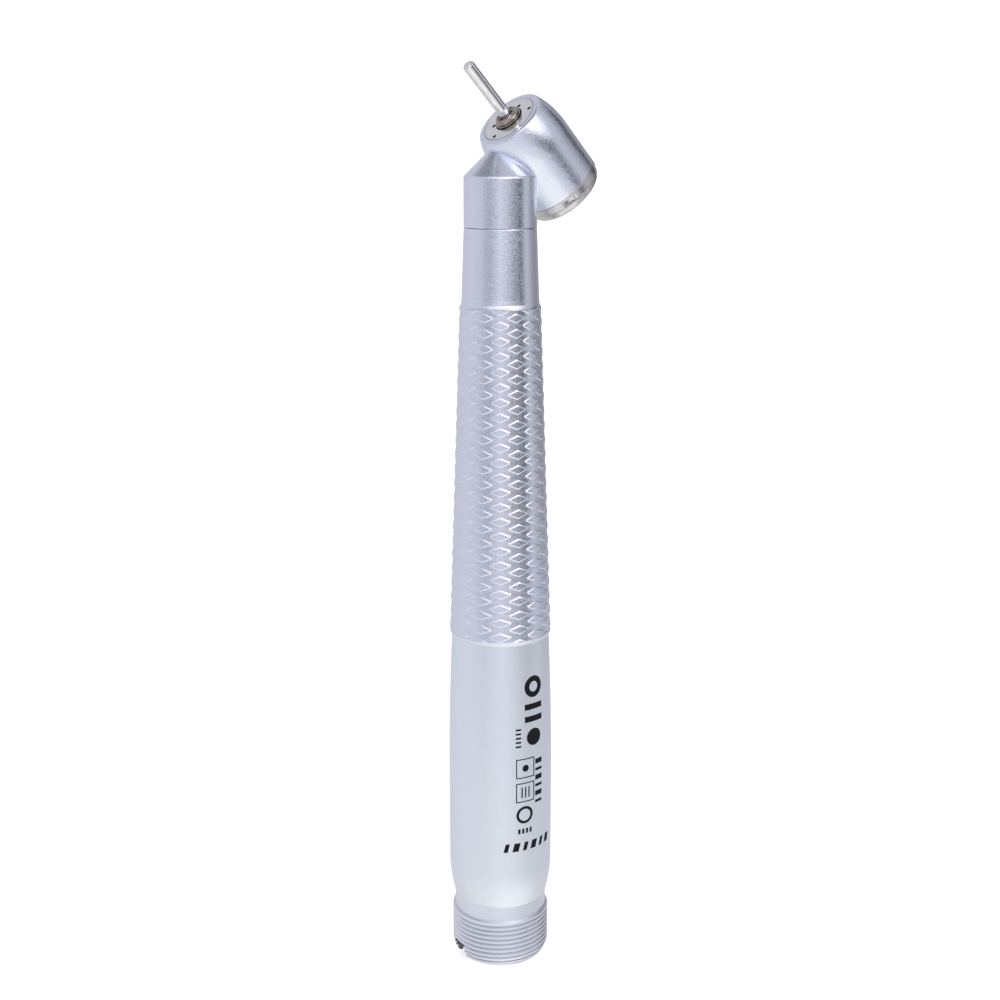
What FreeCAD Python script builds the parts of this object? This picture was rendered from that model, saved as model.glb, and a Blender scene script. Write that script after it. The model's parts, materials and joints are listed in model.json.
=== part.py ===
import FreeCAD, Part
import math
import os

import Sketcher

# A push-button high-speed dental handpiece whose head is tilted 45 degrees to its handle.
# Origin: centre of the threaded rear end. +Z runs up the handle to the head, the bur leans
# towards -X, and XZ is the plane of symmetry of the outside.

Vector = FreeCAD.Vector
UP = Vector(0, 0, 1)
ACROSS = FreeCAD.Rotation(Vector(0, 1, 0), 90)

SIZES = {
    # Where the head sits: its axis crosses the handle's axis at head_cross_height.
    "head_cross_height": 120.1,
    "face_to_cross": 1.98,
    "head_turn": 135,
    # Head housing: barrel shaped, narrowing to its face.
    "face_rim_radius": 4.65,
    "head_radius": 5.7,
    "head_rear_radius": 5.64,
    "head_widest_depth": 5.0,
    "head_length": 11.42,
    "head_side_arc": 12.43,
    "face_rim_round": 0.35,
    # Neck collar and the 45 degree cone that carries the head.
    "collar_radius": 4.86,
    "collar_base": 104.85,
    "collar_top": 111.4,
    "cone_top_radius": 1.4,
    "cone_rise": 3.46,
    "spigot_radius": 3.9,
    "spigot_length": 4.15,
    "spigot_groove_radius": 3.3,
    "spigot_groove_low": 1.4,
    "spigot_groove_high": 2.2,
    # Bores of the head, by depth from its face.
    "plate_seat_radius": 3.75,
    "plate_seat_depth": 1.0,
    "nose_opening_radius": 2.0,
    "bearing_shoulder_depth": 1.5,
    "bearing_seat_radius": 3.27,
    "ring_groove_radius": 3.68,
    "front_groove_low": 2.59,
    "front_groove_high": 3.29,
    "chamber_depth": 4.3,
    "chamber_radius": 4.65,
    "cap_thread_depth": 7.7,
    "cap_thread_radius": 5.02,
    # Passages from the neck into the head.
    "spray_channel_outer": 3.4,
    "spray_channel_inner": 2.2,
    "spray_channel_depth": 0.25,
    "spray_bore_radius": 0.35,
    "spray_bore_offset": 0.1,
    "spray_bore_spacing": 0.9,
    "spray_bore_top": 115.65,
    "air_bore_radius": 0.75,
    "exhaust_bore_radius": 0.9,
    "air_bore_offset": 1.7,
    "air_bore_spacing": 1.35,
    "air_bore_top": 112.6,
    # Face plate.
    "plate_radius": 3.73,
    "plate_thickness": 1.0,
    "spray_hole_radius": 0.28,
    "spray_hole_near": 2.35,
    "spray_hole_far": 3.17,
    # Bearings, 3.175 x 6.35 x 2.38 mm.
    "bearing_bore_radius": 1.5875,
    "bearing_outer_radius": 3.175,
    "bearing_width": 2.38,
    "inner_ring_outer": 2.02,
    "outer_ring_inner": 2.76,
    "ball_radius": 0.5,
    "ball_circle": 2.38,
    "race_radius": 0.53,
    "pocket_radius": 0.52,
    "cage_inner": 2.1,
    "cage_outer": 2.68,
    "cage_width": 1.3,
    "shield_inner": 2.08,
    "shield_thickness": 0.12,
    "shield_inset": 0.05,
    "front_bearing_depth": 1.75,
    "rear_bearing_depth": 7.85,
    # Rubber rings.
    "bearing_seal_circle": 3.43,
    "bearing_seal_section": 0.24,
    "neck_seal_circle": 3.61,
    "neck_seal_section": 0.3,
    "neck_seal_height": 1.8,
    "rear_seal_circle": 5.3,
    "rear_seal_section": 0.29,
    "rear_seal_height": 12.0,
    # Dished preload washer between the head's shoulder and the front bearing.
    "washer_inner": 2.35,
    "washer_outer": 3.2,
    "washer_dish": 0.14,
    "washer_thickness": 0.1,
    # Rotor spindle, by height from the front of its nose.
    "nose_out": 0.84,
    "nose_front_radius": 1.4,
    "nose_side_radius": 1.7,
    "nose_bevel": 0.28,
    "nose_groove_radius": 1.6,
    "nose_groove_low": 0.5,
    "nose_groove_high": 0.6,
    "nose_radius": 1.86,
    "nose_length": 2.59,
    "spindle_bore": 1.26,
    "spindle_length": 11.74,
    "spindle_lip_radius": 1.05,
    "spindle_lip_height": 11.34,
    # Impeller.
    "impeller_hub_radius": 2.02,
    "impeller_hub_length": 3.72,
    "blade_start": 0.37,
    "blade_length": 3.0,
    "blade_root": 1.9,
    "blade_reach": 4.15,
    "blade_lead": 0.95,
    "blade_thickness": 0.45,
    # Chuck.
    "collet_radius": 1.24,
    "collet_bore": 0.83,
    "collet_length": 7.99,
    "collet_inset": 0.05,
    "slit_width": 0.2,
    "slit_length": 5.0,
    "pusher_depth": 7.9,
    "pusher_bore": 0.84,
    "pusher_radius": 0.95,
    "pusher_flange_radius": 1.22,
    "pusher_flange_low": 2.0,
    "pusher_flange_high": 2.58,
    "pusher_bore_depth": 2.6,
    "pusher_length": 3.3,
    "chuck_coil_radius": 1.1,
    "chuck_wire_radius": 0.11,
    "chuck_coil_depth": 7.34,
    "chuck_coil_height": 2.42,
    "chuck_coil_pitch": 0.44,
    "coil_face_turns": 0.5,
    # Bur blank with a 1.6 mm shank.
    "bur_radius": 0.8,
    "bur_length": 19.0,
    "bur_out": 9.5,
    "bur_tip_bevel": 0.25,
    # Head cap, by height from the front of its threaded skirt.
    "cap_depth": 7.8,
    "cap_skirt_radius": 5.0,
    "cap_skirt_length": 3.62,
    "cap_ring_radius": 5.64,
    "cap_ring_end_radius": 5.62,
    "cap_ring_length": 4.8,
    "cap_rim_radius": 5.42,
    "cap_rim_bevel": 0.22,
    "cap_length": 5.8,
    "cap_well_radius": 4.75,
    "cap_well_floor": 3.4,
    "cap_web_low": 2.6,
    "cap_web_hole": 2.0,
    "clip_groove_radius": 4.95,
    "clip_groove_low": 4.5,
    "clip_groove_high": 4.7,
    "cap_groove_low": 0.89,
    "cap_groove_high": 1.59,
    "wrench_slot_width": 2.0,
    "wrench_slot_depth": 0.45,
    "wrench_slot_start": 3.88,
    # Snap ring that keeps the button in the cap.
    "clip_inner": 4.45,
    "clip_outer": 4.93,
    "clip_depth": 12.31,
    "clip_thickness": 0.18,
    "clip_gap": 3.0,
    # Push button, by height from the foot of its boss.
    "button_depth": 11.4,
    "button_boss_radius": 0.9,
    "button_roof": 1.8,
    "button_wall_inner": 3.7,
    "button_flange_radius": 4.68,
    "button_flange_low": 0.6,
    "button_flange_high": 0.85,
    "button_radius": 4.36,
    "button_edge": 2.3,
    "button_bevel_radius": 3.9,
    "button_bevel_top": 2.6,
    "button_crown_radius": 3.2,
    "button_crown": 2.85,
    "button_coil_radius": 2.9,
    "button_wire_radius": 0.18,
    "button_coil_depth": 11.4,
    "button_coil_height": 1.6,
    "button_coil_pitch": 0.45,
    # Handle shell, by height above its rear edge.
    "shell_base": 9.45,
    "shell_rear_radius": 6.6,
    "shell_radius": 7.33,
    "shell_swell_top": 5.45,
    "shell_swell_arc": 20.71,
    "barrel_straight_top": 17.5,
    "barrel_arc": 448,
    "barrel_top": 39.3,
    "barrel_top_radius": 6.8,
    "grip_edge_radius": 6.99,
    "grip_edge_top": 39.6,
    "grip_low_radius": 7.07,
    "grip_low": 39.9,
    "grip_top": 84.95,
    "grip_top_radius": 5.49,
    "neck_start": 85.4,
    "neck_start_radius": 5.22,
    "shell_length": 95.4,
    "shell_spigot_bore": 3.95,
    "shell_step_top": 87.0,
    "shell_step_low": 84.5,
    "shell_upper_bore": 4.4,
    "shell_mid_bore": 5.9,
    "shell_mid_height": 40.0,
    "shell_wide_bore": 6.1,
    "shell_wide_height": 8.0,
    "shell_seal_bore": 5.6,
    "shell_seal_bore_top": 6.1,
    # Threaded rear connector.
    "thread_radius": 6.9,
    "thread_end_radius": 5.88,
    "thread_chamfer": 1.6,
    "thread_top": 7.1,
    "thread_pitch": 0.7,
    "thread_depth": 0.3,
    "thread_groove_wide": 0.44,
    "thread_first": 1.35,
    "thread_turns": 8,
    "band_radius": 6.55,
    "band_top": 9.45,
    "skirt_inner": 5.3,
    "recess_depth": 4.0,
    "connector_spigot_radius": 5.58,
    "connector_top": 15.0,
    "connector_bore": 4.4,
    "connector_floor": 9.8,
    "seal_groove_radius": 5.0,
    "seal_groove_low": 11.6,
    "seal_groove_high": 12.4,
    "notch_width": 2.6,
    "notch_height": 2.15,
    "exhaust_hole_radius": 0.9,
    "exhaust_hole_offset": 3.35,
    "socket_top": 6.0,
    # Hose nipples in the recess, and the tubes that follow them.
    "nipple_end": 0.4,
    "air_nipple_radius": 1.5,
    "air_nipple_bore": 1.1,
    "air_nipple_flange": 1.8,
    "air_nipple_offset": 2.4,
    "water_nipple_radius": 0.8,
    "water_nipple_bore": 0.5,
    "water_nipple_flange": 1.1,
    "water_nipple_offset": 2.8,
    "tube_low": 9.85,
    "tube_high": 97.65,
    "air_tube_radius": 1.0,
    "air_tube_bore": 0.75,
    "thin_tube_radius": 0.6,
    "thin_tube_bore": 0.4,
    "chip_bore_height": 8.0,
    # Block in the neck that the tubes end in.
    "manifold_base": 97.7,
    "manifold_radius": 3.9,
    "manifold_length": 3.0,
}

BALLS = 8
BLADES = 8
COLLET_SLITS = 3
WRENCH_SLOT_TURNS = (60, 180, 300)
SPRAY_HOLES = (("spray_hole_near", 57), ("spray_hole_far", 3),
               ("spray_hole_near", 180), ("spray_hole_far", 233))
NOTCH_TURNS = (-10, 170)

doc = FreeCAD.newDocument("handpiece")
sheet = doc.addObject("Spreadsheet::Sheet", "Sizes")
for row, (alias, size) in enumerate(SIZES.items(), start=1):
    sheet.set(f"A{row}", alias)
    sheet.set(f"B{row}", str(size))
    sheet.setAlias(f"B{row}", alias)
doc.recompute()


def measure(text):
    """The value of sheet names and numbers joined by + and -, such as "cap_depth + cap_length"."""
    total, sign = 0.0, 1
    for word in text.split():
        if word in "+-":
            sign = 1 if word == "+" else -1
        else:
            total += sign * float(SIZES.get(word, word))
    return total


def bound(text):
    """The same text as an expression that reads the sheet."""
    return " ".join(f"Sizes.{word}" if word in SIZES else word for word in text.split())


def bind(item, **properties):
    for name, text in properties.items():
        item.setExpression(name, bound(text))


def on_handle(height="0", x=0.0, y=0.0):
    """A place in the handle's frame, at a height above the rear end."""
    return FreeCAD.Placement(Vector(x, y, measure(height)), FreeCAD.Rotation())


def on_head(depth="0", x=0.0, y=0.0):
    """A place in the head's frame: its Z runs inwards from the face, its X to the handle's side."""
    turn = FreeCAD.Rotation(Vector(0, 1, 0), SIZES["head_turn"])
    inward = turn.multVec(UP)
    face = Vector(0, 0, SIZES["head_cross_height"]) + inward * SIZES["face_to_cross"]
    return FreeCAD.Placement(face + turn.multVec(Vector(x, y, measure(depth))), turn)


def own_plane(body, role):
    return next(f for f in body.Origin.OriginFeatures if f.Role == role)


def new_sketch(body, role):
    sketch = body.newObject("Sketcher::SketchObject", "Outline")
    sketch.AttachmentSupport = [(own_plane(body, role), "")]
    sketch.MapMode = "FlatFace"
    return sketch


def arc_between(start, end, radius):
    """The arc of that radius from start to end, bulging to the right of the way there."""
    half = (end - start) * 0.5
    side = Vector(half.y, -half.x, 0).normalize()
    centre = start + half - side * math.sqrt(radius**2 - half.Length**2)
    return Part.Arc(start, centre + (start + half - centre).normalize() * radius, end)


def draw_outline(sketch, corners):
    """Closed outline through (x, y[, arc radius]) corners, each a sheet expression.

    An arc radius makes the run from its corner to the next an arc that bulges outwards.
    """
    points = [Vector(measure(c[0]), measure(c[1]), 0) for c in corners]
    ends = points[1:] + points[:1]
    for corner, start, end in zip(corners, points, ends):
        if len(corner) == 3:
            sketch.addGeometry(arc_between(start, end, measure(corner[2])), False)
        else:
            sketch.addGeometry(Part.LineSegment(start, end), False)
    heads = [2 if len(c) == 3 and is_reversed(sketch, i, points[i]) else 1
             for i, c in enumerate(corners)]
    for i, corner in enumerate(corners):
        after = (i + 1) % len(corners)
        sketch.addConstraint(Sketcher.Constraint("Coincident", i, 3 - heads[i], after, heads[after]))
        place_point(sketch, (i, heads[i]), corner)
        if len(corner) == 3:
            size = measure(corner[2])
            index = sketch.addConstraint(Sketcher.Constraint("Radius", i, size))
            sketch.setExpression(f"Constraints[{index}]", bound(corner[2]))


def is_reversed(sketch, index, start):
    """An arc is stored counter-clockwise, so its first end can be the outline's second."""
    return (sketch.Geometry[index].StartPoint - start).Length > 1e-6


def place_point(sketch, point, corner):
    """Fix one corner by its two distances from the sketch's origin."""
    for kind, axis, text in (("DistanceX", -2, corner[0]), ("DistanceY", -1, corner[1])):
        if text == "0":
            sketch.addConstraint(Sketcher.Constraint("PointOnObject", *point, axis))
        else:
            index = sketch.addConstraint(Sketcher.Constraint(kind, -1, 1, *point, measure(text)))
            sketch.setExpression(f"Constraints[{index}]", bound(text))


def new_body(label):
    body = doc.addObject("PartDesign::Body", label)
    body.Label = label
    return body


def spin(body, kind, corners):
    """Turn an outline of (radius, height) corners about the body's Z axis, adding or cutting."""
    sketch = new_sketch(body, "XZ_Plane")
    draw_outline(sketch, corners)
    feature = body.newObject(kind, "Turned")
    feature.Profile = sketch
    feature.ReferenceAxis = (sketch, ["V_Axis"])
    feature.Angle = 360
    body.Tip = feature
    return feature


def turned(label, corners, place):
    body = new_body(label)
    spin(body, "PartDesign::Revolution", corners)
    body.Placement = place
    return body


def tube(label, inner, outer, length, place):
    """A plain ring or tube."""
    return turned(label, [(inner, "0"), (outer, "0"), (outer, length), (inner, length)], place)


def rod(label, radius, length, place):
    item = doc.addObject("Part::Cylinder", label)
    bind(item, Radius=radius, Height=length)
    item.Placement = place
    return item


def box(label, length, width, height, place):
    item = doc.addObject("Part::Box", label)
    bind(item, Length=length, Width=width, Height=height)
    item.Placement = place
    return item


def torus(label, circle, section, place):
    item = doc.addObject("Part::Torus", label)
    item.Label = label
    bind(item, Radius1=circle, Radius2=section)
    item.Placement = place
    return item


def fuse(label, shapes):
    item = doc.addObject("Part::MultiFuse", label)
    item.Label = label
    item.Shapes = shapes
    return item


def cut(label, base, tools):
    item = doc.addObject("Part::Cut", label)
    item.Label = label
    item.Base = base
    item.Tool = tools[0] if len(tools) == 1 else fuse(f"{label}_cuts", tools)
    return item


def around(place, turn, x=0.0, y=0.0, z=0.0):
    """A place turned about another place's Z axis, then moved in the turned frame."""
    spun = FreeCAD.Placement(Vector(), FreeCAD.Rotation(UP, turn))
    return place.multiply(spun).multiply(FreeCAD.Placement(Vector(x, y, z), FreeCAD.Rotation()))


def coil(label, circle, wire, height, pitch, place):
    """A round-wire compression spring."""
    helix = doc.addObject("Part::Helix", f"{label}_path")
    bind(helix, Radius=circle, Height=height, Pitch=pitch, SegmentLength="coil_face_turns")
    section = doc.addObject("Part::Circle", f"{label}_wire")
    bind(section, Radius=wire)
    across = FreeCAD.Rotation(Vector(1, 0, 0), 90)
    section.Placement = FreeCAD.Placement(Vector(measure(circle), 0, 0), across)
    sweep = doc.addObject("Part::Sweep", label)
    sweep.Label = label
    sweep.Sections = [section]
    sweep.Spine = (helix, [])
    sweep.Solid = True
    sweep.Frenet = True
    sweep.Placement = place
    return sweep


def head_housing():
    """Head shell, 45 degree cone, collar and the spigot that enters the handle."""
    shell = new_body("head_shell")
    side = [
        ("0", "0"),
        ("face_rim_radius", "0", "head_side_arc"),
        ("head_radius", "head_widest_depth"),
        ("head_rear_radius", "head_length"),
        ("0", "head_length"),
    ]
    turn = spin(shell, "PartDesign::Revolution", side)
    doc.recompute()
    rim = [f"Edge{i}" for i, edge in enumerate(turn.Shape.Edges, start=1)
           if abs(edge.BoundBox.ZMax) < 1e-6 and isinstance(edge.Curve, Part.Circle)]
    rounding = shell.newObject("PartDesign::Fillet", "RimRound")
    rounding.Base = (turn, rim)
    bind(rounding, Radius="face_rim_round")
    shell.Tip = rounding
    shell.Placement = on_head()
    neck = turned("head_neck", [
        ("0", "0"),
        ("spigot_radius", "0"),
        ("spigot_radius", "spigot_groove_low"),
        ("spigot_groove_radius", "spigot_groove_low"),
        ("spigot_groove_radius", "spigot_groove_high"),
        ("spigot_radius", "spigot_groove_high"),
        ("spigot_radius", "spigot_length"),
        ("collar_radius", "spigot_length"),
        ("collar_radius", "spigot_length + collar_top - collar_base"),
        ("cone_top_radius", "spigot_length + collar_top - collar_base + cone_rise"),
        ("0", "spigot_length + collar_top - collar_base + cone_rise"),
    ], on_handle("collar_base - spigot_length"))
    bores = turned("head_bores", [
        ("0", "0"),
        ("plate_seat_radius", "0"),
        ("plate_seat_radius", "plate_seat_depth"),
        ("nose_opening_radius", "plate_seat_depth"),
        ("nose_opening_radius", "bearing_shoulder_depth"),
        ("bearing_seat_radius", "bearing_shoulder_depth"),
        ("bearing_seat_radius", "front_groove_low"),
        ("ring_groove_radius", "front_groove_low"),
        ("ring_groove_radius", "front_groove_high"),
        ("bearing_seat_radius", "front_groove_high"),
        ("bearing_seat_radius", "chamber_depth"),
        ("chamber_radius", "chamber_depth"),
        ("chamber_radius", "cap_thread_depth"),
        ("cap_thread_radius", "cap_thread_depth"),
        ("cap_thread_radius", "head_length"),
        ("0", "head_length"),
    ], on_head())
    channel = tube("spray_channel", "spray_channel_inner", "spray_channel_outer",
                   "spray_channel_depth", on_head("plate_seat_depth"))
    spray_x = -SIZES["spray_bore_offset"]
    air_x = SIZES["air_bore_offset"]
    base = "collar_base - spigot_length"
    passages = []
    for side in (-1, 1):
        spray_y = side * SIZES["spray_bore_spacing"]
        air_y = side * SIZES["air_bore_spacing"]
        width = "air_bore_radius" if side < 0 else "exhaust_bore_radius"
        passages.append(rod("spray_passage", "spray_bore_radius",
                            "spray_bore_top - collar_base + spigot_length",
                            on_handle(base, spray_x, spray_y)))
        passages.append(rod("air_passage", width, "air_bore_top - collar_base + spigot_length",
                            on_handle(base, air_x, air_y)))
    return cut("head_housing", fuse("head_blank", [shell, neck]), [bores, channel] + passages)


def face_plate():
    """Disc round the chuck nose, with four spray holes."""
    disc = tube("face_disc", "nose_opening_radius", "plate_radius", "plate_thickness", on_head())
    holes = [rod("spray_hole", "spray_hole_radius", "plate_thickness",
                 around(on_head(), turn, x=SIZES[reach]))
             for reach, turn in SPRAY_HOLES]
    return cut("face_plate", disc, holes)


def head_cap():
    """Threaded cap: rear bearing seat, web, and the well that the button moves in."""
    blank = turned("cap_blank", [
        ("bearing_seat_radius", "0"),
        ("cap_skirt_radius", "0"),
        ("cap_skirt_radius", "cap_skirt_length"),
        ("cap_ring_radius", "cap_skirt_length"),
        ("cap_ring_end_radius", "cap_ring_length"),
        ("cap_rim_radius", "cap_ring_length"),
        ("cap_rim_radius", "cap_length - cap_rim_bevel"),
        ("cap_rim_radius - cap_rim_bevel", "cap_length"),
        ("cap_well_radius", "cap_length"),
        ("cap_well_radius", "clip_groove_high"),
        ("clip_groove_radius", "clip_groove_high"),
        ("clip_groove_radius", "clip_groove_low"),
        ("cap_well_radius", "clip_groove_low"),
        ("cap_well_radius", "cap_well_floor"),
        ("cap_web_hole", "cap_well_floor"),
        ("cap_web_hole", "cap_web_low"),
        ("bearing_seat_radius", "cap_web_low"),
        ("bearing_seat_radius", "cap_groove_high"),
        ("ring_groove_radius", "cap_groove_high"),
        ("ring_groove_radius", "cap_groove_low"),
        ("bearing_seat_radius", "cap_groove_low"),
    ], on_head("cap_depth"))
    reach = SIZES["cap_ring_radius"] - SIZES["wrench_slot_depth"]
    slots = [box("wrench_slot", "wrench_slot_width", "wrench_slot_width",
                 "cap_ring_length - wrench_slot_start",
                 around(on_head("cap_depth"), turn, x=reach, y=-SIZES["wrench_slot_width"] / 2,
                        z=SIZES["wrench_slot_start"]))
             for turn in WRENCH_SLOT_TURNS]
    return cut("head_cap", blank, slots)


def push_button():
    """Domed button with a flange under the snap ring and a boss that meets the chuck."""
    return turned("push_button", [
        ("0", "0"),
        ("button_boss_radius", "0"),
        ("button_boss_radius", "button_roof"),
        ("button_wall_inner", "button_roof"),
        ("button_wall_inner", "button_flange_low"),
        ("button_flange_radius", "button_flange_low"),
        ("button_flange_radius", "button_flange_high"),
        ("button_radius", "button_flange_high"),
        ("button_radius", "button_edge"),
        ("button_bevel_radius", "button_bevel_top"),
        ("button_crown_radius", "button_crown"),
        ("0", "button_crown"),
    ], on_head("button_depth"))


def button_clip():
    """Open snap ring in the cap's groove."""
    whole = tube("clip_ring", "clip_inner", "clip_outer", "clip_thickness", on_head("clip_depth"))
    gap = box("clip_opening", "clip_outer", "clip_gap", "clip_thickness",
              around(on_head("clip_depth"), 0, y=-SIZES["clip_gap"] / 2))
    return cut("button_clip", whole, [gap])


def bearing(name, depth, shield_depth):
    """Shielded ball bearing: two rings, balls, cage and shield."""
    middle = f"{depth} + {SIZES['bearing_width'] / 2}"
    for ring, inner, outer in (("inner", "bearing_bore_radius", "inner_ring_outer"),
                               ("outer", "outer_ring_inner", "bearing_outer_radius")):
        blank = tube(f"{name}_{ring}_blank", inner, outer, "bearing_width", on_head(depth))
        race = torus(f"{name}_{ring}_race", "ball_circle", "race_radius", on_head(middle))
        cut(f"{name}_bearing_{ring}_ring", blank, [race])
    places = [around(on_head(middle), 360 * i / BALLS, x=SIZES["ball_circle"]) for i in range(BALLS)]
    ball_group(f"{name}_bearing_balls", places)
    cage_depth = f"{middle} - {SIZES['cage_width'] / 2}"
    band = tube(f"{name}_cage_band", "cage_inner", "cage_outer", "cage_width", on_head(cage_depth))
    pockets = [rod(f"{name}_pocket", "pocket_radius", "cage_outer", outwards(on_head(middle), turn))
               for turn in range(0, 360, 360 // BALLS)]
    cut(f"{name}_bearing_cage", band, pockets)
    tube(f"{name}_bearing_shield", "shield_inner", "outer_ring_inner", "shield_thickness",
         on_head(shield_depth))


def outwards(place, turn):
    """A place on another place's Z axis whose own Z points outwards at that turn."""
    return around(place, turn).multiply(FreeCAD.Placement(Vector(), ACROSS))


def ball_group(label, places):
    group = doc.addObject("Part::Compound", label)
    group.Label = label
    balls = []
    for place in places:
        ball = doc.addObject("Part::Sphere", "Ball")
        bind(ball, Radius="ball_radius")
        ball.Placement = place
        balls.append(ball)
    group.Links = balls
    return group


def rotor_spindle():
    """Hollow spindle whose grooved nose stands out of the face plate."""
    return turned("rotor_spindle", [
        ("spindle_bore", "0"),
        ("nose_front_radius", "0"),
        ("nose_side_radius", "nose_bevel"),
        ("nose_side_radius", "nose_groove_low"),
        ("nose_groove_radius", "nose_groove_low"),
        ("nose_groove_radius", "nose_groove_high"),
        ("nose_radius", "nose_groove_high"),
        ("nose_radius", "nose_length"),
        ("bearing_bore_radius", "nose_length"),
        ("bearing_bore_radius", "spindle_length"),
        ("spindle_lip_radius", "spindle_length"),
        ("spindle_lip_radius", "spindle_lip_height"),
        ("spindle_bore", "spindle_lip_height"),
    ], on_head("0 - nose_out"))


def impeller():
    """Hub that spaces the bearings, with straight slanted blades."""
    body = new_body("impeller")
    spin(body, "PartDesign::Revolution", [
        ("bearing_bore_radius", "0"),
        ("impeller_hub_radius", "0"),
        ("impeller_hub_radius", "impeller_hub_length"),
        ("bearing_bore_radius", "impeller_hub_length"),
    ])
    sketch = new_sketch(body, "XY_Plane")
    draw_outline(sketch, [
        ("blade_root", "0"),
        ("blade_reach", "blade_lead - blade_thickness"),
        ("blade_reach", "blade_lead"),
        ("blade_root", "blade_thickness"),
    ])
    bind(sketch, **{"AttachmentOffset.Base.z": "blade_start"})
    blade = body.newObject("PartDesign::Pad", "Blade")
    blade.Profile = sketch
    bind(blade, Length="blade_length")
    body.Tip = blade
    doc.recompute()
    blades = body.newObject("PartDesign::PolarPattern", "Blades")
    blades.Originals = [blade]
    blades.Axis = (own_plane(body, "Z_Axis"), [""])
    blades.Angle = 360
    blades.Occurrences = BLADES
    body.Tip = blades
    body.Placement = on_head("front_bearing_depth + bearing_width")
    return body


def collet():
    """Sleeve that grips the bur, slit from its front end."""
    place = on_head("collet_inset - nose_out")
    sleeve = tube("collet_sleeve", "collet_bore", "collet_radius", "collet_length", place)
    slits = [box("collet_slit", "collet_radius", "slit_width", "slit_length",
                 around(place, 360 * i / COLLET_SLITS, y=-SIZES["slit_width"] / 2))
             for i in range(COLLET_SLITS)]
    return cut("collet", sleeve, slits)


def chuck_pusher():
    """Cup behind the bur that the button pushes against the chuck spring."""
    return turned("chuck_pusher", [
        ("pusher_bore", "0"),
        ("pusher_radius", "0"),
        ("pusher_radius", "pusher_flange_low"),
        ("pusher_flange_radius", "pusher_flange_low"),
        ("pusher_flange_radius", "pusher_flange_high"),
        ("pusher_radius", "pusher_flange_high"),
        ("pusher_radius", "pusher_length"),
        ("0", "pusher_length"),
        ("0", "pusher_bore_depth"),
        ("pusher_bore", "pusher_bore_depth"),
    ], on_head("pusher_depth"))


def bur():
    return turned("bur", [
        ("0", "0"),
        ("bur_radius - bur_tip_bevel", "0"),
        ("bur_radius", "bur_tip_bevel"),
        ("bur_radius", "bur_length - bur_tip_bevel"),
        ("bur_radius - bur_tip_bevel", "bur_length"),
        ("0", "bur_length"),
    ], on_head("0 - bur_out"))


def preload_washer():
    return turned("preload_washer", [
        ("washer_inner", "0"),
        ("washer_outer", "washer_dish"),
        ("washer_outer", "washer_dish + washer_thickness"),
        ("washer_inner", "washer_thickness"),
    ], on_head("bearing_shoulder_depth"))


def handle_shell():
    """Hollow handle: swelling barrel, tapered grip and slim neck."""
    return turned("handle_shell", [
        ("shell_seal_bore", "0"),
        ("shell_rear_radius", "0", "shell_swell_arc"),
        ("shell_radius", "shell_swell_top"),
        ("shell_radius", "barrel_straight_top", "barrel_arc"),
        ("barrel_top_radius", "barrel_top"),
        ("grip_edge_radius", "grip_edge_top"),
        ("grip_low_radius", "grip_low"),
        ("grip_top_radius", "grip_top"),
        ("neck_start_radius", "neck_start"),
        ("collar_radius", "shell_length"),
        ("shell_spigot_bore", "shell_length"),
        ("shell_spigot_bore", "shell_step_top"),
        ("shell_upper_bore", "shell_step_low"),
        ("shell_mid_bore", "shell_mid_height"),
        ("shell_wide_bore", "shell_wide_height"),
        ("shell_seal_bore", "shell_seal_bore_top"),
    ], on_handle("shell_base"))


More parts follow.
